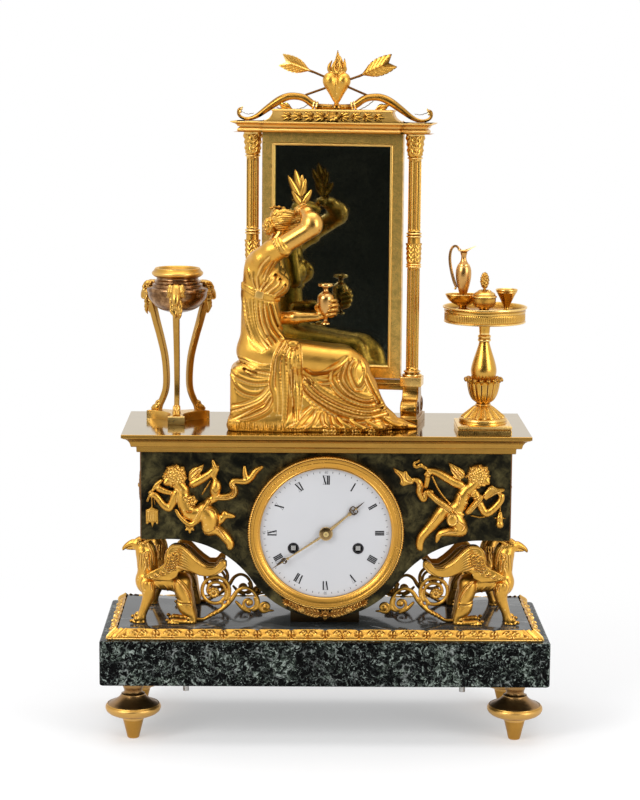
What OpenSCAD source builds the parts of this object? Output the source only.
// Empire mantel clock: a figure at a dressing mirror on a dark bronze case,
// carried by griffins on a green marble base.
// Millimetres, +Z up, the dial faces -Y, the origin lies under the middle of the base.

/* [Base] */
// Width of the marble base
base_w = 362; // [350:1:380]
// Depth of the marble base
base_d = 142; // [138:1:156]
// Thickness of the marble base
base_t = 36.5; // [30:0.5:44]
// Radius of the upright marble corners
base_round = 3; // [1:0.5:6]
// Height of a foot
foot_h = 50; // [44:1:58]
// Radius of a foot's flared collar
foot_r = 22.6; // [18:0.1:25]
// Inset of the foot centres from the base's sides
foot_inset = 25.5; // [24:0.5:32]
// Width of the grey marble slab
slab_w = 334; // [326:1:340]
// Depth of the grey marble slab
slab_d = 114; // [110:1:120]
// Rise of the slab above the marble base
slab_t = 7.5; // [6:0.5:10]
// Width of the leaf moulding around the slab
leaf_w = 8; // [5:0.5:9]

/* [Case] */
// Width of the case
case_w = 297; // [290:1:304]
// Depth of the case
case_d = 90; // [86:1:96]
// Thickness of the front and back plates
plate_t = 3; // [2:0.5:4]
// Thickness of the bent band between the plates
band_t = 2.5; // [2:0.5:4]
// Radius of the drum around the movement
drum_r = 72; // [71:0.5:74]
// Gap between the drum and the slab
drum_gap = 6.3; // [4:0.1:9]
// Height of the case's top above the middle of the dial
case_rise = 64.2; // [63:0.1:70]
// Drop of the wings' underside below the middle of the dial
wing_drop = 7.3; // [5:0.1:10]
// Radius of the sweep between a wing and the drum
sweep_r = 80; // [70:1:90]
// Height of the cornice
cornice_h = 16; // [14:0.5:20]
// Overhang of the cornice at the sides and the front
cornice_out = 15; // [13:0.5:17]

/* [Dial] */
// Radius of the gilt bezel
bezel_r = 61.8; // [60:0.1:62.5]
// Radius of the white dial inside the bezel's lip
dial_r = 55.3; // [54.5:0.1:56]
// Distance of a winding arbor to the side of the dial's middle
wind_x = 26; // [25:0.5:27]
// Drop of the winding arbors below the dial's middle
wind_drop = 12.5; // [12:0.5:13.5]
// Length of the minute hand
minute_len = 53; // [45:0.5:54]
// Length of the hour hand
hour_len = 39; // [30:0.5:44]
// Minutes shown by the hands
shown_min = 39.4; // [0:0.1:59.9]
// Hour shown by the hands
shown_hour = 1; // [0:1:11]

/* [Movement] */
// Radius of the round movement plates
mov_r = 52; // [52:0.1:52.3]
// Thickness of a movement plate
mov_t = 2; // [1.6:0.1:2.4]
// Distance between the movement plates
mov_gap = 34; // [34:0.5:36]
// Radius of a barrel's teeth
barrel_r = 22.5; // [21:0.1:22.6]
// Radius of an arbor's pivots
pivot_r = 1; // [0.8:0.05:1.2]
// Running clearance around a pivot or a pipe
run_fit = 0.05; // [0.03:0.01:0.08]
// Clearance between the pendulum bob and the drum's band
pend_gap = 2.5; // [1.5:0.1:5]
// Radius of the pendulum bob
bob_r = 15; // [12:0.5:15.5]
// Radius of the bell
bell_r = 24; // [20:0.5:25]

/* [Mirror stand] */
// Turn of the mirror stand about the vertical, in degrees
stand_turn = 10.5; // [8:0.5:11]
// Distance between the middles of the two columns
column_gap = 134; // [130:0.5:136]
// Radius of a column
column_r = 5.2; // [4.6:0.1:5.8]
// Height of the columns' tops above the case
column_top = 236.5; // [226:0.5:244]
// Depth of the consoles under the columns
console_d = 46; // [40:1:48]
// Width of the mirror frame
frame_w = 116; // [112:0.5:117]
// Width of the frame's side rails
rail_w = 10.5; // [8:0.5:13]
// Thickness of the mirror glass
glass_t = 3; // [2:0.5:4]

/* [Table and brazier] */
// Radius of the table's tray
tray_r = 34; // [30:0.5:36]
// Height of the table's tray above the case
tray_z = 100.5; // [94:0.5:106]
// Radius of the brazier's bowl
bowl_r = 24.5; // [22:0.5:26]
// Height of the brazier above the case
brazier_h = 126; // [120:0.5:132]

/* [Hidden] */
gilt = [0.83, 0.62, 0.22];
dark = [0.16, 0.13, 0.09];
steel = [0.45, 0.46, 0.50];
brass = [0.78, 0.66, 0.36];

// Heights of the main levels
base_top = foot_h + base_t;
slab_top = base_top + slab_t;
dial_z = slab_top + drum_gap + drum_r;
case_top = dial_z + case_rise;
wing_z = dial_z - wing_drop;
top_z = case_top + cornice_h;
front_y = -case_d / 2;
back_y = case_d / 2;
foot_x = base_w / 2 - foot_inset;
foot_y = base_d / 2 - foot_inset;
seat_gap = 0.2;

// General shapes
module ycyl(r, y0, y1, fn = 48)
  translate([0, y0, 0]) rotate([-90, 0, 0]) cylinder(r = r, h = y1 - y0, $fn = fn);
module yturn(profile, fn = 96) rotate([-90, 0, 0]) rotate_extrude($fn = fn) polygon(profile);
// An upright plate: the outline lies in X and Z, the thickness runs from y0 to y1
module plate_y(y0, y1) translate([0, y1, 0]) rotate([90, 0, 0]) linear_extrude(y1 - y0) children();
// A block whose profile of [half width, half depth, z] steps runs around all four sides
module moulded(p) {
  intersection() {
    plate_y(-p[0][1] - 200, p[0][1] + 200)
      polygon(concat([for (q = p) [q[0], q[2]]], [for (i = [len(p) - 1 : -1 : 0]) [-p[i][0], p[i][2]]]));
    translate([-p[0][0] - 200, 0, 0]) rotate([90, 0, 90]) linear_extrude(2 * p[0][0] + 400)
      polygon(concat([for (q = p) [q[1], q[2]]], [for (i = [len(p) - 1 : -1 : 0]) [-p[i][1], p[i][2]]]));
  }
}
function arc(c, r, a0, a1, n) = [for (i = [0 : n]) let (a = a0 + (a1 - a0) * i / n)
  [c[0] + r * cos(a), c[1] + r * sin(a)]];
// A flat spiral band around c that starts at radius r0 and angle a0 and winds in
function spiral(c, r0, r1, a0, turns, w, n) = concat(
  [for (i = [0 : n]) let (t = i / n, a = a0 + 360 * turns * t, r = r0 + (r1 - r0) * t)
    [c[0] + r * cos(a), c[1] + r * sin(a)]],
  [for (i = [n : -1 : 0]) let (t = i / n, a = a0 + 360 * turns * t,
    r = r0 + (r1 - r0) * t - w * (1 - 0.5 * t)) [c[0] + r * cos(a), c[1] + r * sin(a)]]);
function gear_pts(n, ro, ri) = [for (i = [0 : n - 1], k = [0 : 3])
  let (a = 360 * (i + 0.25 * k) / n, r = (k == 1 || k == 2) ? ro : ri) [r * cos(a), r * sin(a)]];
module gear(teeth, r, y0, y1, depth = 1.6) plate_y(y0, y1) polygon(gear_pts(teeth, r, r - depth));
// A chain of balls [x, y, z, r], each joined to the next
module limb(balls, fn = 14) for (i = [0 : len(balls) - 2]) hull() for (b = [balls[i], balls[i + 1]])
  translate([b[0], b[1], b[2]]) sphere(r = b[3], $fn = fn);
module blob(balls, fn = 14) hull() for (b = balls) translate([b[0], b[1], b[2]]) sphere(r = b[3],
  $fn = fn);

// Base
module rounded_block(w, d, z0, z1, r) translate([0, 0, z0]) linear_extrude(z1 - z0) union() {
  square([w - 2 * r, d], center = true);
  square([w, d - 2 * r], center = true);
  for (sx = [-1, 1], sy = [-1, 1]) translate([sx * (w / 2 - r), sy * (d / 2 - r)])
    circle(r = r, $fn = 32);
}
tenon_r = 3;
tenon_h = 12;
bolt_r = 2.5;
bolt_fit = 0.3;
bolt_x = 113;
bolt_y = 36;
module at_bolts() for (sx = [-1, 1], sy = [-1, 1]) translate([sx * bolt_x, sy * bolt_y, 0]) children();
module at_feet() for (sx = [-1, 1], sy = [-1, 1]) translate([sx * foot_x, sy * foot_y, 0]) children();
module marble_base() color([0.06, 0.11, 0.09]) difference() {
  rounded_block(base_w, base_d, foot_h, base_top, base_round);
  at_feet() translate([0, 0, foot_h - 1]) cylinder(r = tenon_r + run_fit, h = tenon_h + 1.5, $fn = 32);
  at_bolts() translate([0, 0, foot_h - 1]) cylinder(r = bolt_r + bolt_fit, h = base_t + 2, $fn = 32);
}
module marble_slab() color([0.22, 0.24, 0.25]) difference() {
  translate([-slab_w / 2, -slab_d / 2, base_top]) cube([slab_w, slab_d, slab_t]);
  at_bolts() translate([0, 0, base_top - 1]) cylinder(r = bolt_r + bolt_fit, h = slab_t + 2, $fn = 32);
}
module leaf_moulding() color(gilt) difference() {
  hw = slab_w / 2 + seat_gap;
  hd = slab_d / 2 + seat_gap;
  moulded([[hw + leaf_w, hd + leaf_w, base_top], [hw + leaf_w, hd + leaf_w, base_top + 1.5],
    [hw + 0.75 * leaf_w, hd + 0.75 * leaf_w, base_top + 4], [hw + 1.5, hd + 1.5, base_top + slab_t - 0.8],
    [hw + 0.6, hd + 0.6, base_top + slab_t - 0.5]]);
  translate([-hw, -hd, base_top - 1]) cube([2 * hw, 2 * hd, slab_t + 2]);
}
foot_neck_r = 8.6;
module feet() color(gilt) at_feet() rotate_extrude($fn = 72) polygon([[0, 0], [4.9, 0], [5.6, 2],
  [8.4, 15],
  [9, 16.5], [9, 18], [foot_r - 7, 19.5], [foot_r - 2, 22.5], [foot_r, 25.5], [foot_r, 28.5],
  [foot_r - 1.5, 29.6], [foot_r - 8, 31], [foot_neck_r + 2, 34], [foot_neck_r, 38], [foot_neck_r, foot_h],
  [tenon_r, foot_h], [tenon_r, foot_h + tenon_h], [0, foot_h + tenon_h]]);
nut_h = 5;
module base_bolts() color(steel) at_bolts() {
  translate([0, 0, foot_h - nut_h - 1]) cylinder(r = 5.2, h = nut_h, $fn = 6);
  translate([0, 0, foot_h - 1]) difference() {
    cylinder(r = 8, h = 1, $fn = 48);
    translate([0, 0, -1]) cylinder(r = bolt_r, h = 3, $fn = 32);
  }
  translate([0, 0, foot_h - 13]) cylinder(r = bolt_r, h = 13 - nut_h - 1, $fn = 32);
  translate([0, 0, foot_h - 1]) cylinder(r = bolt_r, h = slab_top - foot_h + 1, $fn = 32);
}
saddle_w = 56;
saddle_d = 66;
module drum_saddle() color(gilt) difference() {
  translate([-saddle_w / 2, -saddle_d / 2, slab_top]) cube([saddle_w, saddle_d, drum_gap + 7]);
  translate([0, 0, dial_z]) ycyl(drum_r, -saddle_d, saddle_d, 160);
}

// Case: the outline is a beam with a drum below it, joined by two swept arcs
arc_n = 12;
function case_pts(t) = let (zf = wing_z - sweep_r - dial_z,
    xf = sqrt(pow(drum_r + sweep_r, 2) - zf * zf), a = atan2(zf, xf), hw = case_w / 2 - t,
    right = concat([[hw, case_rise], [hw, t - wing_drop]],
      arc([xf, zf], sweep_r + t, 90, 180 + a, arc_n), arc([0, 0], drum_r - t, a, -90, arc_n)))
  concat(right, [for (i = [len(right) - 2 : -1 : 0]) [-right[i][0], right[i][1]]]);
module case_plate(y0, hole) difference() {
  translate([0, 0, dial_z]) plate_y(y0, y0 + plate_t) polygon(case_pts(0));
  translate([0, 0, dial_z]) ycyl(hole, y0 - 1, y0 + plate_t + 1, 120);
}
hole_r = dial_r + 1.2;
rear_hole_r = 57;
module case_front() color(dark) case_plate(front_y, hole_r);
module case_back() color(dark) case_plate(back_y - plate_t, rear_hole_r);
module case_shell() color(dark) translate([0, 0, dial_z]) difference() {
  plate_y(front_y + plate_t, back_y - plate_t) polygon(case_pts(0));
  plate_y(front_y, back_y) polygon(concat([[case_w / 2 - band_t, case_rise + 5]],
    case_pts(band_t), [[band_t - case_w / 2, case_rise + 5]]));
}
cornice_hw = case_w / 2 + cornice_out;
cornice_hd = case_d / 2 + cornice_out;
pocket_in = 26;
module cornice() color(gilt) difference() {
  moulded([for (p = [[cornice_out, 0], [12, 0.3], [11.4, 1.6], [12, 2.2], [9.6, 3.4], [7.6, 5.4],
    [6, 8.2],
    [5.2, 11.4], [3.4, 11.8], [3.4, 12.6], [0, 12.8], [0, cornice_h]])
    [cornice_hw - p[0], cornice_hd - p[0], case_top + p[1]]]);
  translate([pocket_in - cornice_hw, pocket_in - cornice_hd, case_top - 1])
    cube([2 * (cornice_hw - pocket_in), 2 * (cornice_hd - pocket_in), cornice_h - 5]);
}
// Gilt lozenge with a boss and a wreath, one on each side of the case
module side_mounts() color(gilt) for (sx = [-1, 1])
  translate([sx * case_w / 2, 0, (wing_z + case_top) / 2]) rotate([0, sx * 90, 0]) {
    linear_extrude(2) polygon([[-33, 0], [-20, -7], [0, -20], [20, -7], [33, 0], [20, 7], [0, 20],
      [-20, 7]]);
    translate([0, 0, 2]) rotate_extrude($fn = 64) translate([10, 0]) circle(r = 2, $fn = 24);
    translate([0, 0, 1]) cylinder(r1 = 6, r2 = 3, h = 4, $fn = 48);
  }

// Dial and bezel
lip_y = front_y - 8;
bezel_y = front_y - 13.3;
dial_seat_r = dial_r + 0.9;
dial_back = front_y - 5.3;
module at_dial() translate([0, 0, dial_z]) children();
module bezel() color(gilt) at_dial() yturn([[dial_r, bezel_y + 1.6], [dial_r + 1.4, bezel_y],
  [dial_r + 2.6, bezel_y + 0.2], [bezel_r - 2.6, bezel_y + 2.6], [bezel_r - 0.6, bezel_y + 5.6],
  [bezel_r, bezel_y + 8], [bezel_r, front_y], [dial_seat_r + 0.2, front_y], [dial_seat_r + 0.2, lip_y],
  [dial_r, lip_y]], 120);
hour_pipe_r = 3.1;
cannon_r = 2.2;
dial_hole_r = hour_pipe_r + 0.9;
wind_hole_r = 4.4;
winders = [[wind_x, -wind_drop], [-wind_x, -wind_drop]];
module dial_holes(y0, y1) {
  ycyl(dial_hole_r, y0, y1);
  for (p = winders) translate([p[0], 0, p[1]]) ycyl(wind_hole_r, y0, y1);
}
module dial() color([0.95, 0.95, 0.93]) at_dial() difference() {
  yturn([[0, dial_back], [dial_seat_r, dial_back], [dial_seat_r, dial_back - 1.4],
    [0.8 * dial_seat_r, dial_back - 1.9], [0.5 * dial_seat_r, dial_back - 2.3], [0, dial_back - 2.5]],
      120);
  dial_holes(dial_back - 5, dial_back + 5);
}
dial_plate_t = 1.7;
plate_back = dial_back + dial_plate_t;
module dial_plate() color(brass) at_dial() difference() {
  ycyl(dial_seat_r, dial_back, plate_back, 120);
  dial_holes(dial_back - 5, dial_back + 5);
}
minute_angle = 6 * shown_min;
hour_angle = 30 * (shown_hour + shown_min / 60);
hand_t = 0.8;
hour_y = dial_back - 4.3;
minute_y = hour_y - 2;
// A tapering hand with a ring near its tip; it points along +Z before it is turned
module hand(len, r_boss, r_bore, ring_r, y0) {
  ring_at = 0.68 * len;
  difference() {
    union() {
      plate_y(y0, y0 + hand_t) polygon([[-1.5, 0], [-0.9, ring_at - ring_r], [0.9, ring_at - ring_r],
        [1.5, 0]]);
      translate([0, 0, ring_at]) ycyl(ring_r, y0, y0 + hand_t);
      plate_y(y0, y0 + hand_t) polygon([[-1.8, ring_at + ring_r - 0.6], [0, len],
        [1.8, ring_at + ring_r - 0.6]]);
      ycyl(r_boss, y0, y0 + hand_t);
    }
    ycyl(r_bore, y0 - 1, y0 + hand_t + 1);
    translate([0, 0, ring_at]) ycyl(ring_r - 0.9, y0 - 1, y0 + hand_t + 1);
  }
}
module minute_hand() color(gilt) at_dial() rotate([0, minute_angle, 0])
  hand(minute_len, 4.8, cannon_r, 2.6, minute_y);
module hour_hand() color(gilt) at_dial() rotate([0, hour_angle, 0])
  hand(hour_len, 5.4, hour_pipe_r, 3, hour_y);

// Movement: arbor places are [x, z] from the dial's middle
mov_front = -28;
mov_inner = mov_front + mov_t;
mov_rear = mov_inner + mov_gap;
mov_back = mov_rear + mov_t;
third_at = [14, 17];
escape_at = [0, 31];
pallet_at = [0, 46];
strike_at = [-14, 17];
fly_at = [-22, 31];
stud_at = [0, 20];
hammer_at = [44, -14];
bell_at = [22, 14];
arbor_r = 1.6;
wind_arbor_r = 3;
pillar_r = 2.5;
pillar_at = 46.5;
pillar_angles = [25, 155, 242, 298];
module at_arbor(p) translate([p[0], 0, dial_z + p[1]]) children();
module pivot_holes(y0, y1) {
  for (p = [third_at, escape_at, pallet_at, strike_at, fly_at]) at_arbor(p)
    ycyl(pivot_r + run_fit, y0, y1, 24);
  for (p = winders) at_arbor(p) ycyl(wind_arbor_r + run_fit, y0, y1, 32);
}
module movement_front_plate() color(brass) difference() {
  at_dial() ycyl(mov_r, mov_front, mov_inner, 120);
  pivot_holes(mov_front - 1, mov_inner + 1);
  at_dial() ycyl(cannon_r + run_fit, mov_front - 1, mov_inner + 1);
}
module movement_back_plate() color(brass) difference() {
  at_dial() ycyl(mov_r, mov_rear, mov_back, 120);
  pivot_holes(mov_rear - 1, mov_back + 1);
  at_dial() ycyl(pivot_r + run_fit, mov_rear - 1, mov_back + 1, 24);
}
module movement_pillars() color(brass) at_dial() for (a = pillar_angles) rotate([0, -a, 0])
  translate([pillar_at, 0, 0]) {
    ycyl(pillar_r, mov_inner, mov_rear);
    ycyl(pillar_r - 0.7, plate_back, mov_front);
  }
strap_at = mov_r + 1.9;
strap_angles = [215, 325];
strap_r = 1.4;
module strap_rods() color(steel) at_dial() for (a = strap_angles) rotate([0, -a, 0])
  translate([strap_at, 0, 0]) ycyl(strap_r, plate_back, back_y);
barrel_y0 = mov_inner + 4;
barrel_y1 = mov_inner + 22;
wheel_t = 1.6;
barrel_wheel_y = barrel_y1 - 2.5;
module barrel(p, count) at_arbor(p) difference() {
  union() {
    ycyl(barrel_r - 2.5, barrel_y0, barrel_wheel_y, 96);
    gear(72, barrel_r, barrel_wheel_y, barrel_y1);
  }
  ycyl(wind_arbor_r + run_fit, barrel_y0 - 1, barrel_y1 + 1);
  yturn([[wind_arbor_r + 2, barrel_y0 + 2], [barrel_r - 4, barrel_y0 + 2],
    [barrel_r - 4, barrel_wheel_y - 1.5],
    [wind_arbor_r + 2, barrel_wheel_y - 1.5]], 72);
}
// The wound mainspring lies inside as a closed pack of coils
module mainspring(p) at_arbor(p) yturn([[wind_arbor_r + 3.5, barrel_y0 + 2],
  [barrel_r - 6, barrel_y0 + 2], [barrel_r - 6, barrel_wheel_y - 1.9],
    [wind_arbor_r + 3.5, barrel_wheel_y - 1.9]], 72);
module winder(p) at_arbor(p) {
  ycyl(wind_arbor_r, mov_front - 4, mov_back + 1);
  plate_y(dial_back - 1.2, mov_front - 4) square(3.8, center = true);
  gear(24, 8, mov_inner + 1, mov_inner + 2.8, 1.2);
}
module going_barrel() color(brass) { barrel(winders[0]); mainspring(winders[0]); }
module strike_barrel() color(brass) { barrel(winders[1]); mainspring(winders[1]); }
module going_arbor() color(steel) winder(winders[0]);
module strike_arbor() color(steel) winder(winders[1]);
mesh_gap = 0.5;
function far(a, b) = norm([a[0] - b[0], a[1] - b[1]]);
centre_wheel_r = 18;
third_wheel_r = 16.5;
pinion_y = barrel_wheel_y - 0.5;
centre_wheel_y = barrel_y1 + 5.5;
third_wheel_y = barrel_y1 + 1.5;
module train_arbor(p, y_tip) at_arbor(p) {
  ycyl(pivot_r, mov_front, y_tip, 24);
  ycyl(arbor_r, mov_inner + 0.5, mov_rear - 0.5, 32);
}
module centre_arbor() color(steel) {
  at_dial() {
    ycyl(cannon_r, minute_y - 1.4, mov_inner + 0.5);
    ycyl(arbor_r, mov_inner + 0.5, mov_rear - 0.5);
    ycyl(pivot_r, mov_rear - 0.5, mov_back, 24);
    gear(12, far([0, 0], winders[0]) - barrel_r - mesh_gap, pinion_y, barrel_y1 + 0.5, 1.2);
    gear(60, centre_wheel_r, centre_wheel_y, centre_wheel_y + wheel_t);
    gear(12, cannon_gear_r, mov_front - 5.5, mov_front - 1, 1);
  }
}
module third_wheel() color(brass) {
  train_arbor(third_at, mov_back);
  at_arbor(third_at) {
    gear(10, far(third_at, [0, 0]) - centre_wheel_r - mesh_gap, centre_wheel_y - 1, centre_wheel_y + 3,
      0.9);
    gear(54, third_wheel_r, third_wheel_y, third_wheel_y + wheel_t);
  }
}
escape_r = 9;
module escape_wheel() color(brass) {
  train_arbor(escape_at, mov_back);
  at_arbor(escape_at) {
    gear(8, far(escape_at, third_at) - third_wheel_r - mesh_gap, third_wheel_y - 0.8,
      third_wheel_y + 2.6, 0.8);
    plate_y(mov_rear - 3.4, mov_rear - 2.2) polygon([for (i = [0 : 29], k = [0 : 1])
      let (a = 12 * i + 5 * k, r = k == 0 ? escape_r : escape_r - 2) [r * cos(a), r * sin(a)]]);
  }
}
crutch_y = mov_back + 1.5;
rod_y = mov_back + 7;
crutch_len = 26;
module anchor() color(steel) {
  train_arbor(pallet_at, crutch_y + 2);
  // Pallets reach down on both sides and stay clear of the wheel's teeth at full swing
  at_arbor(pallet_at) {
    plate_y(mov_rear - 3.6, mov_rear - 2) difference() {
      polygon(concat([[-9, -9], [-8, -2]], arc([0, 0], 3.2, 170, 10, 6), [[8, -2], [9, -9], [7.6, -8.4],
        [5.6, -2.6],
        [-5.6, -2.6], [-7.6, -8.4]]));
    }
    ycyl(3, crutch_y, crutch_y + 1.5);
    plate_y(crutch_y, crutch_y + 1.5) polygon([[-1.2, -2], [-1, -crutch_len - 1], [1, -crutch_len - 1],
      [1.2, -2]]);
    translate([-3.1, crutch_y, -crutch_len - 2]) cube([6.2, 1.5, 2.4]);
    for (sx = [-1, 1]) translate([sx * 2.4, 0, -crutch_len - 0.8])
      ycyl(0.7, crutch_y + 1.5, rod_y + 2.5, 24);
  }
}
cannon_gear_r = 4.8;
motion_wheel_r = far(stud_at, [0, 0]) - cannon_gear_r - mesh_gap;
motion_pinion_r = 3.9;
hour_wheel_r = far(stud_at, [0, 0]) - motion_pinion_r - mesh_gap;
motion_y = mov_front - 4;
module minute_wheel() color(brass) at_arbor(stud_at) difference() {
  union() {
    gear(36, motion_wheel_r, motion_y, motion_y + wheel_t, 1);
    gear(10, motion_pinion_r, motion_y - 4.5, motion_y, 0.9);
  }
  ycyl(pivot_r + 0.5 + run_fit, motion_y - 6, motion_y + 4, 32);
}
module hour_wheel() color(brass) at_dial() difference() {
  union() {
    gear(40, hour_wheel_r, motion_y - 4, motion_y - 4 + wheel_t, 1);
    ycyl(hour_pipe_r, hour_y - 0.3, motion_y - 4 + wheel_t);
  }
  ycyl(cannon_r + run_fit, hour_y - 2, motion_y);
}
strike_wheel_r = 11;
module strike_wheel() color(brass) {
  train_arbor(strike_at, mov_back);
  at_arbor(strike_at) {
    gear(16, far(strike_at, winders[1]) - barrel_r - mesh_gap, pinion_y, barrel_y1 + 0.5, 1.2);
    gear(42, strike_wheel_r, third_wheel_y, third_wheel_y + wheel_t, 1.2);
    for (a = [0 : 45 : 315]) rotate([0, a, 0]) translate([7.5, 0, 0])
      ycyl(0.6, third_wheel_y + wheel_t, third_wheel_y + 4, 16);
  }
}
module fly() color(brass) {
  train_arbor(fly_at, mov_back);
  at_arbor(fly_at) {
    gear(8, far(fly_at, strike_at) - strike_wheel_r - mesh_gap, third_wheel_y - 0.8,
      third_wheel_y + 2.6, 0.8);
    translate([-8, mov_inner + 3, -0.4]) cube([16, 14, 0.8]);
  }
}
hook_r = 1;
pend_len = drum_r - band_t + pallet_at[1] - bob_r - pend_gap;
module pendulum_cock() color(brass) at_arbor(pallet_at) {
  translate([-5, mov_back, 3.6]) cube([10, rod_y + 5 - mov_back, 1.8]);
  translate([-3, rod_y + 3.2, -3]) cube([6, 1.8, 6.6]);
  ycyl(hook_r, rod_y - 1.5, rod_y + 3.2, 32);
}
module pendulum_rod() color(steel) at_arbor(pallet_at) {
  difference() {
    ycyl(2.5, rod_y - 1, rod_y + 1);
    ycyl(hook_r + run_fit, rod_y - 2, rod_y + 2, 32);
  }
  translate([0, rod_y, -pend_len + bob_r]) cylinder(r = 1.1, h = pend_len - bob_r - 2.2, $fn = 24);
}
module pendulum_bob() color(brass) at_arbor([pallet_at[0], pallet_at[1] - pend_len])
  yturn([[0, rod_y - 3.6],
  [bob_r * 0.6, rod_y - 3], [bob_r - 0.8, rod_y - 1.2], [bob_r, rod_y], [bob_r - 0.8, rod_y + 1.2],
  [bob_r * 0.6, rod_y + 3], [0, rod_y + 3.6]], 72);
bell_y = mov_back + 14;
module bell() color(steel) at_arbor(bell_at) yturn([[post_r, bell_y + 12], [0.35 * bell_r, bell_y + 12],
  [0.75 * bell_r, bell_y + 10], [0.95 * bell_r, bell_y + 5.5], [bell_r, bell_y], [bell_r - 1.8, bell_y],
  [0.87 * bell_r, bell_y + 5], [0.69 * bell_r, bell_y + 8.6], [0.33 * bell_r, bell_y + 10.2],
    [post_r, bell_y + 10.2]]);
post_r = 2;
hammer_pin_r = 1.5;
hammer_y = bell_y - 1;
module rear_posts() color(steel) {
  at_arbor(bell_at) {
    ycyl(post_r, mov_back, bell_y + 12);
    ycyl(post_r + 1.6, bell_y + 12, bell_y + 14);
  }
  at_arbor(hammer_at) ycyl(hammer_pin_r, mov_back, hammer_y + 7);
  at_arbor(stud_at) ycyl(pivot_r + 0.5, motion_y - 5, mov_front, 32);
}
hammer_head_r = 3.5;
head_x = bell_at[0] + bell_r + hammer_head_r + 0.5;
module hammer() color(steel) difference() {
  union() {
    at_arbor(hammer_at) ycyl(3.4, hammer_y, hammer_y + 6);
    at_arbor([head_x, bell_at[1]]) ycyl(hammer_head_r, hammer_y, hammer_y + 6);
    at_arbor([0, 0]) plate_y(hammer_y + 2, hammer_y + 4) polygon([[hammer_at[0] - 1.4, hammer_at[1]],
      [head_x - 1.2, bell_at[1]], [head_x + 1.2, bell_at[1]], [hammer_at[0] + 1.4, hammer_at[1]]]);
  }
  at_arbor(hammer_at) ycyl(hammer_pin_r + run_fit, hammer_y - 1, hammer_y + 8, 32);
}

// Rear bezel and door; the door turns about an upright pin on its left seen from the front
ring_t = 3;
ring_in = strap_at - 4;
ring_out = 62;
door_gap = 0.3;
door_t = 2;
hinge_x = -66;
hinge_y = back_y + ring_t + door_gap + door_t / 2;
pin_r = 1;
knuckle_r = 2.2;
knuckle_h = 8;
knuckle_gap = 0.2;
module knuckle(z0, z1, bore) difference() {
  union() {
    translate([hinge_x, hinge_y, z0]) cylinder(r = knuckle_r, h = z1 - z0, $fn = 32);
    children();
  }
  translate([hinge_x, hinge_y, z0 - 1]) cylinder(r = bore, h = z1 - z0 + 2, $fn = 32);
}
module rear_bezel() color(gilt) {
  at_dial() difference() {
    ycyl(ring_out, back_y, back_y + ring_t, 120);
    ycyl(ring_in, back_y - 1, back_y + ring_t + 1, 120);
  }
  for (s = [-1, 1]) {
    z = dial_z + s * 1.5 * knuckle_h - knuckle_h / 2 + knuckle_gap;
    knuckle(z, z + knuckle_h - 2 * knuckle_gap, pin_r)
      translate([hinge_x, back_y, z]) cube([9, ring_t, knuckle_h - 2 * knuckle_gap]);
  }
  translate([hinge_x, hinge_y, dial_z - 2 * knuckle_h]) cylinder(r = pin_r, h = 4 * knuckle_h, $fn = 32);
}
module rear_door() color(gilt) {
  z = dial_z - knuckle_h + knuckle_gap;
  knuckle(z, z + 2 * (knuckle_h - knuckle_gap), pin_r + run_fit)
    translate([hinge_x, hinge_y - door_t / 2, z]) cube([9, door_t, 2 * (knuckle_h - knuckle_gap)]);
  at_dial() difference() {
    union() {
      ycyl(ring_out - 0.6, hinge_y - door_t / 2, hinge_y + door_t / 2, 120);
      translate([ring_out - 9, 0, 0]) ycyl(2.2, hinge_y + door_t / 2, hinge_y + 6);
    }
    for (a = [0 : 30 : 330]) rotate([0, a, 0]) translate([34, 0, 0])
      ycyl(2.5, hinge_y - 3, hinge_y + 3, 32);
    translate([hinge_x - 3, hinge_y - 3, -2 * knuckle_h]) cube([knuckle_r + 4.2, 6, 4 * knuckle_h]);
  }
}

// Griffin seated towards -X with a scrolling tail; drawn at the front left and mirrored
griffin_x = -113;
griffin_y = 32;
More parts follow.
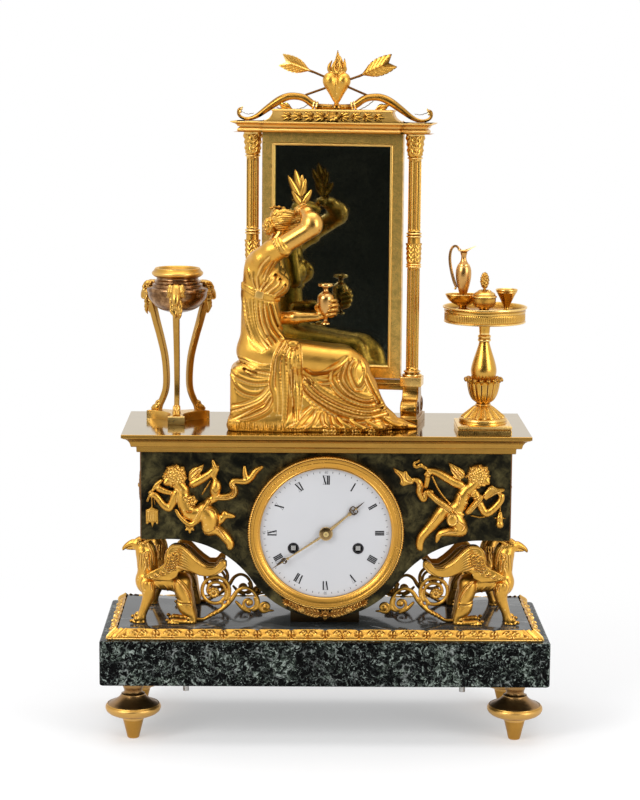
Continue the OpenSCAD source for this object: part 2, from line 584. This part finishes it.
// The rear pair is smaller, so that the front pair hides it
rear_size = 0.86;
rump_x = -100;
module griffin(sx, sy) color(gilt) mirror([sx > 0 ? 1 : 0, 0, 0]) mirror([0, sy > 0 ? 1 : 0, 0])
  translate([rump_x, -griffin_y, slab_top]) scale(sy > 0 ? rear_size : 1) translate([-rump_x, 0, 0]) {
    reach = wing_z - slab_top;
    blob([[-146, 0, 36, 10], [-142, -4, 30, 9], [-142, 4, 30, 9], [-116, 0, 19, 12]], 12);
    limb([[-146, 0, 40, 8.5], [-151, 0, 52, 6.5], [-151, 0, 60, 7], [-158, 0, 60.5, 4],
      [-164, 0, 56.5, 1]], 10);
    for (s = [-1, 1]) {
      limb([[-149, s * 6, 30, 5.5], [-151, s * 7, 14, 3.6], [-150, s * 7, 4, 3.4]], 10);
      limb([[-150, s * 7, 3, 3], [-157, s * 7.5, 2.4, 2.4]], 10);
      blob([[-113, s * 6, 16, 11], [-118, s * 9, 8, 6]], 10);
      limb([[-117, s * 9, 3.6, 3.6], [-130, s * 10, 2.6, 2.6]], 10);
      translate([0, s * 10 - 1.5, 0]) plate_y(0, 3) polygon([[-147, 36], [-144, 48], [-134, 61],
        [-121, reach - 0.3],
        [-108, reach - 2.5], [-92, 60], [-77, 52], [-86, 44], [-100, 36], [-116, 27], [-134, 25]]);
    }
    translate([0, -2.5, 0]) plate_y(0, 5) {
      polygon(spiral([-90.5, 23.5], 12.5, 3, 215, 1.6, 4.5, 36));
      polygon(spiral([-63.5, 14.6], 8.5, 2, 120, -1.4, 3.4, 26));
      polygon(spiral([-48, 9], 5.6, 2, 60, 1.2, 2.6, 20));
      polygon([[-108, 8], [-100, 4], [-88, 10.5], [-74, 16], [-68, 21.5], [-72, 24], [-80, 18],
        [-92, 13.4]]);
      polygon([[-58, 8], [-50, 3.2], [-40, 5], [-42, 9.6], [-50, 6.6], [-56, 12]]);
    }
    translate([-90.5, -3.4, 23.5]) ycyl(3.2, 0, 6.8);
    translate([-118, -11, 0]) cube([12, 22, 5]);
    translate([-101, -3, 0]) cube([8, 6, 11]);
    translate([-52, -3, 0]) cube([5, 6, 5]);
  }
module griffin_front_left() griffin(-1, -1);
module griffin_front_right() griffin(1, -1);
module griffin_rear_left() griffin(-1, 1);
module griffin_rear_right() griffin(1, 1);

// Flying cupid in relief; drawn at the left of the case and mirrored
relief_space = [case_w, 40, 2 * case_top];
module cupid(sx) color(gilt) mirror([sx > 0 ? 1 : 0, 0, 0]) translate([0, front_y, 0]) intersection() {
  translate([-relief_space[0], -relief_space[1], 0]) cube(relief_space);
  cupid_form();
}
module cupid_form() {
  y = -4;
  limb([[-120, y - 1.5, 221, 8], [-113, y, 207, 7], [-104, y, 194, 8]], 10);
  limb([[-104, y, 193, 7.5], [-92, y, 186, 6], [-84, y, 172, 4.5], [-78, y, 160, 3]], 10);
  limb([[-106, y, 191, 7], [-104, y, 179, 5.5], [-92, y, 171, 4], [-88, y, 163, 3]], 10);
  limb([[-115, y, 210, 4.5], [-127, y, 205, 3.6], [-137, y, 198, 3]], 10);
  limb([[-109, y, 211, 4.5], [-98, y, 215, 3.6], [-93, y, 224, 3]], 10);
  plate_y(-4, 0) {
    polygon([[-112, 208], [-104, 216], [-98, 231], [-92, 233], [-91, 222], [-98, 208], [-104, 200]]);
    polygon([[-95, 200], [-84, 206], [-74, 201], [-64, 212], [-54, 228], [-50, 226], [-58, 208],
      [-70, 194],
      [-82, 197], [-93, 190]]);
    polygon([[-138, 200], [-141, 192], [-144, 190], [-145, 174], [-136, 174], [-135, 190], [-138, 192]]);
    polygon([[-128, 198], [-118, 200], [-112, 190], [-122, 184], [-130, 188]]);
  }
}
module cupid_left() cupid(-1);
module cupid_right() cupid(1);
module dial_garland() color(gilt) at_dial() {
  r = bezel_r + 6.2;
  plate_y(front_y - 3.5, front_y) polygon(concat(arc([0, 0], r - 4.4, 238, 302, 14), arc([0, 0],
    r + 2, 302, 238, 14)));
  for (a = [-31 : 6.2 : 31]) rotate([0, a, 0]) translate([0, front_y - 3.2, -r + 0.6])
    sphere(r = 3, $fn = 24);
}

// Brazier on three ram-headed legs
brazier_at = [26.5 - case_w / 2, 16];
foot_ring = 21;
waist_r = 11;
plate_r = 27;
rim_r = 19;
leg_gap = 0.4;
bowl_z = brazier_h - 27;
module at_brazier() translate([brazier_at[0], brazier_at[1], top_z]) children();
module brazier_stand() color(gilt) at_brazier() {
  difference() {
    linear_extrude(7) polygon([for (k = [0 : 2], j = [-1, 1])
      let (a = -90 + 120 * k + j * 14.5) [plate_r * cos(a), plate_r * sin(a)]]);
    for (k = [0 : 2]) rotate(-30 + 120 * k) translate([46, 0, -1]) cylinder(r = 32.5, h = 9, $fn = 72);
  }
  for (k = [0 : 2]) rotate(-90 + 120 * k) {
    rotate([90, 0, 0]) translate([0, 0, -2.3]) linear_extrude(4.6) polygon([[foot_ring - 2, 7],
      [foot_ring + 4, 7], [foot_ring + 3.2, 11.5], [waist_r + 6.5, 15.5], [waist_r + 2.2, 24],
      [waist_r + 2, 36], [waist_r + 3.6, 52], [waist_r + 7.8, 68], [bowl_r - 0.6, 88],
      [bowl_r + 3.2, bowl_z - 2], [bowl_r + 5, bowl_z + 4], [bowl_r + leg_gap, bowl_z + 6],
      [bowl_r + leg_gap, bowl_z + 1], [bowl_r - 0.6, bowl_z - 3], [bowl_r - 4.6, 88],
      [waist_r + 3.6, 68], [waist_r - 0.4, 52], [waist_r - 2, 36], [waist_r - 1.6, 24],
      [waist_r + 2, 14]]);
    blob([[bowl_r + 5.5, 0, bowl_z + 5, 5], [bowl_r + 8, 0, bowl_z - 6, 3.4]], 10);
    for (s = [-1, 1]) translate([bowl_r + 5.4, s * 4.6, bowl_z + 3]) rotate([-90, 0, 0])
      rotate_extrude($fn = 32) translate([4, 0]) circle(r = 1.4, $fn = 16);
  }
}
module brazier_bowl() color([0.55, 0.33, 0.16]) at_brazier() rotate_extrude($fn = 96)
  polygon([[0, bowl_z - 9.6], [9, bowl_z - 8.8], [16, bowl_z - 6], [bowl_r - 3.5, bowl_z - 1.5],
    [bowl_r - 0.8, bowl_z + 2], [bowl_r, bowl_z + 5], [bowl_r - 0.2, bowl_z + 9],
    [rim_r - 2, bowl_z + 13], [rim_r - 3, bowl_z + 18.5], [rim_r + 1, bowl_z + 21],
    [rim_r + 2.2, bowl_z + 22.7], [rim_r + 1, bowl_z + 24.6], [rim_r - 1, brazier_h],
    [rim_r - 5, brazier_h], [rim_r - 7, brazier_h - 3], [0, brazier_h - 3]]);

// Round table with a baluster stem and the things on its tray
table_at = [case_w / 2 - 21.5, -21];
module at_table() translate([table_at[0], table_at[1], top_z]) children();
tray_t = 14;
module table_stem() color(gilt) at_table() {
  translate([-22, -22, 0]) cube([44, 44, 5.5]);
  rotate_extrude($fn = 96) polygon([[0, 5.5], [19, 5.5], [19.6, 7.5], [18.6, 10], [17, 11], [9.5, 18.5],
    [5.6, 20.5],
    [6.2, 23], [11.5, 28], [13.8, 35], [13.6, 41], [10.6, 43.4], [7.6, 44], [9.6, 48], [10.2, 53],
      [8, 60],
    [5.6, 66], [4.6, 71], [6.4, 73], [4.2, 75], [4.2, tray_z - 17], [6, tray_z - tray_t - 1.5],
    [7.5, tray_z - tray_t], [0, tray_z - tray_t]]);
}
tray_floor = tray_z - 4;
module table_tray() color(gilt) at_table() rotate_extrude($fn = 120) polygon([[0, tray_z - tray_t],
  [12, tray_z - tray_t],
  [tray_r - 6, tray_z - tray_t + 2.5], [tray_r - 2, tray_z - tray_t + 6], [tray_r - 0.6, tray_z - 4.5],
  [tray_r, tray_z - 1], [tray_r - 1, tray_z], [tray_r - 2.4, tray_z], [tray_r - 3, tray_floor],
    [0, tray_floor]]);
ewer_at = [-17.5, 2];
pot_at = [-0.5, -9.5];
cup_at = [17.6, -0.5];
basin_h = 10.5;
module ewer() color(gilt) at_table() translate([ewer_at[0], ewer_at[1], tray_floor + basin_h - 6]) {
  rotate_extrude($fn = 48) polygon([[0, 0], [5, 0], [5.2, 1], [2, 3], [1.8, 5], [4.8, 12], [6.4, 21],
    [6.2, 27], [3.8, 32], [2.6, 35], [2.4, 38], [4, 42.6], [3.4, 43.6], [0, 42.6]]);
  translate([0, -1.2, 0]) plate_y(0, 2.4) {
    polygon([[0, 38], [-2.4, 42], [-4, 45.6], [-7, 47.6], [-10.4, 45.4], [-12, 38], [-11.2, 30],
      [-9, 21], [-7, 13.6], [-4, 12.4], [-4, 15], [-6.8, 21.4], [-9.2, 30], [-10, 37.4], [-8.8, 43],
      [-7, 45], [-5.4, 43.6], [-3.6, 40], [-1.4, 36.4]]);
    polygon([[0, 36.6], [2.4, 37], [4.6, 41], [9.6, 45.4], [9, 46.6], [3, 43.4], [0, 42]]);
  }
}
module toilet_set() color(gilt) at_table() {
  translate([ewer_at[0], ewer_at[1], tray_floor]) scale([1, 0.8, 1]) rotate_extrude($fn = 60)
    polygon([[0, 0], [6, 0], [6, 1.2], [4.4, 2.4], [9, 4.2], [11.8, basin_h - 1], [12.4, basin_h],
      [11, basin_h], [9.2, basin_h - 4], [7.2, 4.4], [0, 4.4]]);
  translate([pot_at[0], pot_at[1], tray_floor]) rotate_extrude($fn = 60) polygon([[0, 0], [5, 0],
    [5, 1.5], [3.6, 3.4],
    [7.8, 7], [9.2, 12], [9.2, 16], [9.8, 17], [8.6, 19], [4, 22], [2, 23.4], [2.8, 25.4], [1.8, 28],
      [0, 29.6]]);
  translate([cup_at[0], cup_at[1], tray_floor]) rotate_extrude($fn = 60) polygon([[0, 0], [4.2, 0],
    [4.2, 1.2], [2.4, 3],
    [4.8, 6], [8.6, 15.5], [8.8, 17], [7.8, 17], [4, 8], [0, 6]]);
}

// Mirror stand, in its own frame that is turned about the vertical
stand_at = [4.8, 21.5];
module at_stand() translate([stand_at[0], stand_at[1], top_z]) rotate([0, 0, -stand_turn]) children();
block_hw = 8.6;
block_z0 = 31;
block_z1 = 38.6;
column_z0 = block_z1;
capital_h = 17;
module mirror_columns() color(gilt) at_stand() for (sx = [-1, 1]) translate([sx * column_gap / 2, 0, 0]) {
  translate([-block_hw, -block_hw, block_z0]) cube([2 * block_hw, 2 * block_hw, block_z1 - block_z0]);
  rotate_extrude($fn = 64) polygon([[0, column_z0], [7.6, column_z0], [7.9, column_z0 + 1.5],
    [7, column_z0 + 3],
    [column_r + 0.8, column_z0 + 5], [column_r, column_z0 + 6], [column_r, column_top - 108.7],
    [column_r + 1, column_top - 107.7], [column_r + 1, column_top - 105.7],
    [column_r, column_top - 104.7], [column_r, column_top - 83.8], [column_r + 0.8, column_top - 83],
    [column_r + 0.8, column_top - 79.3], [column_r, column_top - 78.5],
    [column_r, column_top - capital_h - 2.5], [column_r + 1, column_top - capital_h - 1.5],
    [column_r + 1, column_top - capital_h], [column_r + 0.4, column_top - capital_h + 1],
      [column_r + 1.6, column_top - 3],
    [column_r + 2.4, column_top - 2], [column_r + 2.4, column_top], [0, column_top]]);
}
console_w = 14;
stretch_z0 = 27.5;
stretch_z1 = 36;
module mirror_consoles() color(gilt) at_stand() {
  for (sx = [-1, 1]) translate([sx * column_gap / 2, 0, 0]) {
    translate([-8, -console_d / 2, 0]) cube([16, console_d, 6.5]);
    translate([-console_w / 2, 0, 0]) rotate([90, 0, 90]) linear_extrude(console_w) polygon(concat(
      [[-console_d / 2 + 3, 6.5]], arc([-console_d / 2 + 9, 14], 7, 210, 100, 5), [[-8, 26],
        [-8, block_z0],
      [8, block_z0], [8, 26]], arc([console_d / 2 - 9, 14], 7, 80, -30, 5), [[console_d / 2 - 3, 6.5]]));
  }
  translate([-column_gap / 2 + console_w / 2, -6, stretch_z0])
    cube([column_gap - console_w, 12, block_z0 - stretch_z0]);
  translate([-column_gap / 2 + block_hw + seat_gap, -6, block_z0])
    cube([column_gap - 2 * (block_hw + seat_gap), 12, stretch_z1 - block_z0]);
}
ent_hl = column_gap / 2 + 11;
ent_hd = 9.5;
ent_h = 4.4;
module entablature() color(gilt) at_stand() {
  z = column_top;
  moulded([[ent_hl, ent_hd, z], [ent_hl, ent_hd, z + ent_h], [ent_hl + 1, ent_hd + 1, z + ent_h],
    [ent_hl + 3, ent_hd + 3, z + 6.2], [ent_hl + 6, ent_hd + 5, z + 7.2],
      [ent_hl + 6.4, ent_hd + 5, z + 8.8]]);
  translate([-56, -ent_hd - 3, z]) cube([112, 2 * ent_hd + 6, 8.8]);
  translate([0, 0, z + 8.8]) plate_y(-7.5, 7.5) polygon(concat([[-57, 0]], arc([-57, 8],
    8, 270, 345, 5), [[-49, 8.8],
    [49, 8.8]], arc([57, 8], 8, 195, 270, 5)));
  translate([-44, -9, z + 10.5]) cube([88, 1.5, 5.4]);
}
ped_z = column_top + 17.6;
// Bow, crossed arrows and a burning heart on the pediment
bow_pts = [[-9, 5], [-20, 6.5], [-28, 12], [-36, 14.6], [-44, 12.5], [-56, 5], [-66, 0.8], [-73, 0.4],
  [-76, 4],
  [-75.5, 9], [-79.5, 3.6], [-77, -2.4], [-70, -3.2], [-58, 0.6], [-46, 8], [-37, 10], [-30, 7.6],
    [-20, 0.8], [-9, 0]];
module arrow_leaf(s) translate([0, 0, ped_z + 2.5]) scale([s, 1, 1]) plate_y(-0.9, 0.9)
  polygon([[27, 30], [33, 34], [40, 41], [48, 45.5], [51, 44], [47, 39.5], [52, 38], [47, 33], [38, 30],
    [29, 28.4]]);
module trophy() color(gilt) at_stand() {
  translate([0, 0, ped_z]) plate_y(-2.5, 2.5) {
    polygon(bow_pts);
    polygon([for (i = [len(bow_pts) - 1 : -1 : 0]) [-bow_pts[i][0], bow_pts[i][1]]]);
    polygon([[-17, 0], [17, 0], [15, 5], [8, 6.5], [-8, 6.5], [-15, 5]]);
  }
  for (s = [-1, 1]) {
    arrow_leaf(s);
    translate([s * -26, s * 1.1, ped_z + 11]) rotate([0, s * 71.5, 0])
      cylinder(r = 0.9, h = 58, $fn = 16);
  }
  hz = ped_z + 6;
  blob([[0, 0, hz + 1, 1], [-5.6, 0, hz + 17, 5.4], [5.6, 0, hz + 17, 5.4]], 14);
  limb([[0, 0, hz + 21, 3.4], [0, 0, hz + 27, 4.2], [1, 0, hz + 36, 1]], 10);
}
frame_z0 = 37;
frame_t = 9;
frame_y = -6.5;
glass_gap = 0.15;
module mirror_frame() color(gilt) at_stand() {
  h = column_top - frame_z0;
  difference() {
    translate([-frame_w / 2, frame_y, frame_z0]) cube([frame_w, frame_t, h]);
    translate([rail_w - frame_w / 2, frame_y - 1, frame_z0 + rail_w + 1])
      cube([frame_w - 2 * rail_w, 1 + glass_t + 2.2, h - 2 * rail_w - 2]);
  }
  translate([-6, -5, stretch_z1]) cube([12, 6, frame_z0 - stretch_z1]);
}
module mirror_glass() color([0.07, 0.10, 0.10]) at_stand() translate([rail_w - frame_w / 2 + glass_gap,
  frame_y + 2.2, frame_z0 + rail_w + 1 + glass_gap])
  cube([frame_w - 2 * rail_w - 2 * glass_gap, glass_t, column_top - frame_z0 - 2 * rail_w - 2 - 2 *
    glass_gap]);

// Seated figure in a long dress, facing +X, with a vase in the far hand and a sprig in the near one
module figure() color(gilt) translate([0, -22, top_z]) {
  blob([[-68, -18, 7, 7], [-70, 14, 7, 7], [-66, -12, 48, 8], [-60, 8, 50, 10], [20, -10, 51, 9],
    [18, 8, 51, 9],
    [46, -14, 8, 8], [44, 12, 8, 8]], 12);
  blob([[-50, -6, 70, 18], [-50, 6, 70, 18], [16, -8, 61, 12], [16, 8, 60, 12]], 12);
  limb([[-53, 0, 74, 19], [-54, 0, 104, 14], [-50, 0, 126, 15]], 14);
  blob([[-47, -12, 144, 7], [-51, 12, 144, 7], [-50, 0, 128, 14], [-34, -7, 127, 6], [-34, 6, 127, 6]],
    12);
  limb([[-47, 0, 148, 6], [-41, 0, 158, 5], [-38, 0, 167, 10.5]], 14);
  blob([[-38, 0, 168, 10.5], [-47, 0, 171, 7]], 12);
  limb([[-46, -14, 147, 6.4], [-28, -20, 158, 5.4], [-8, -18, 172, 4.4], [-24, -10, 180, 3.2],
    [-23, -9, 186, 2]], 10);
  limb([[-50, 13, 145, 6.4], [-46, 17, 118, 5.4], [-38, 16, 91, 4.6], [-6, 6, 92, 3.4]], 10);
  limb([[40, -6, 8, 8], [62, -4, 4, 4], [70, -3, 2, 2]], 10);
  limb([[-40, -14, 92, 6], [-34, -20, 62, 5], [-32, -22, 34, 4]], 10);
  translate([0, 5, 84]) rotate_extrude($fn = 48) polygon([[0, 0], [5, 0], [5, 1.4], [2, 4], [7, 12],
    [8, 18],
    [6.4, 24], [3, 27], [2.8, 29], [5, 32], [0, 32]]);
  translate([-23, -9.8, 184]) plate_y(0, 1.6) polygon([[-1, 0], [-2, 8], [-9, 10], [-11, 19], [-5, 16],
    [-7, 24],
    [0, 27], [7, 22], [5, 15], [11, 17], [8, 9], [2, 7], [1, 0]]);
}

marble_base();
leaf_moulding();
marble_slab();
feet();
base_bolts();
drum_saddle();
case_front();
case_shell();
case_back();
cornice();
side_mounts();
bezel();
dial();
dial_plate();
minute_hand();
hour_hand();
movement_front_plate();
movement_back_plate();
movement_pillars();
strap_rods();
going_barrel();
going_arbor();
strike_barrel();
strike_arbor();
centre_arbor();
third_wheel();
escape_wheel();
anchor();
minute_wheel();
hour_wheel();
strike_wheel();
fly();
pendulum_cock();
pendulum_rod();
pendulum_bob();
bell();
rear_posts();
hammer();
rear_bezel();
rear_door();
griffin_front_left();
griffin_front_right();
griffin_rear_left();
griffin_rear_right();
cupid_left();
cupid_right();
dial_garland();
brazier_stand();
brazier_bowl();
table_stem();
table_tray();
ewer();
toilet_set();
mirror_columns();
mirror_consoles();
entablature();
trophy();
mirror_frame();
mirror_glass();
figure();
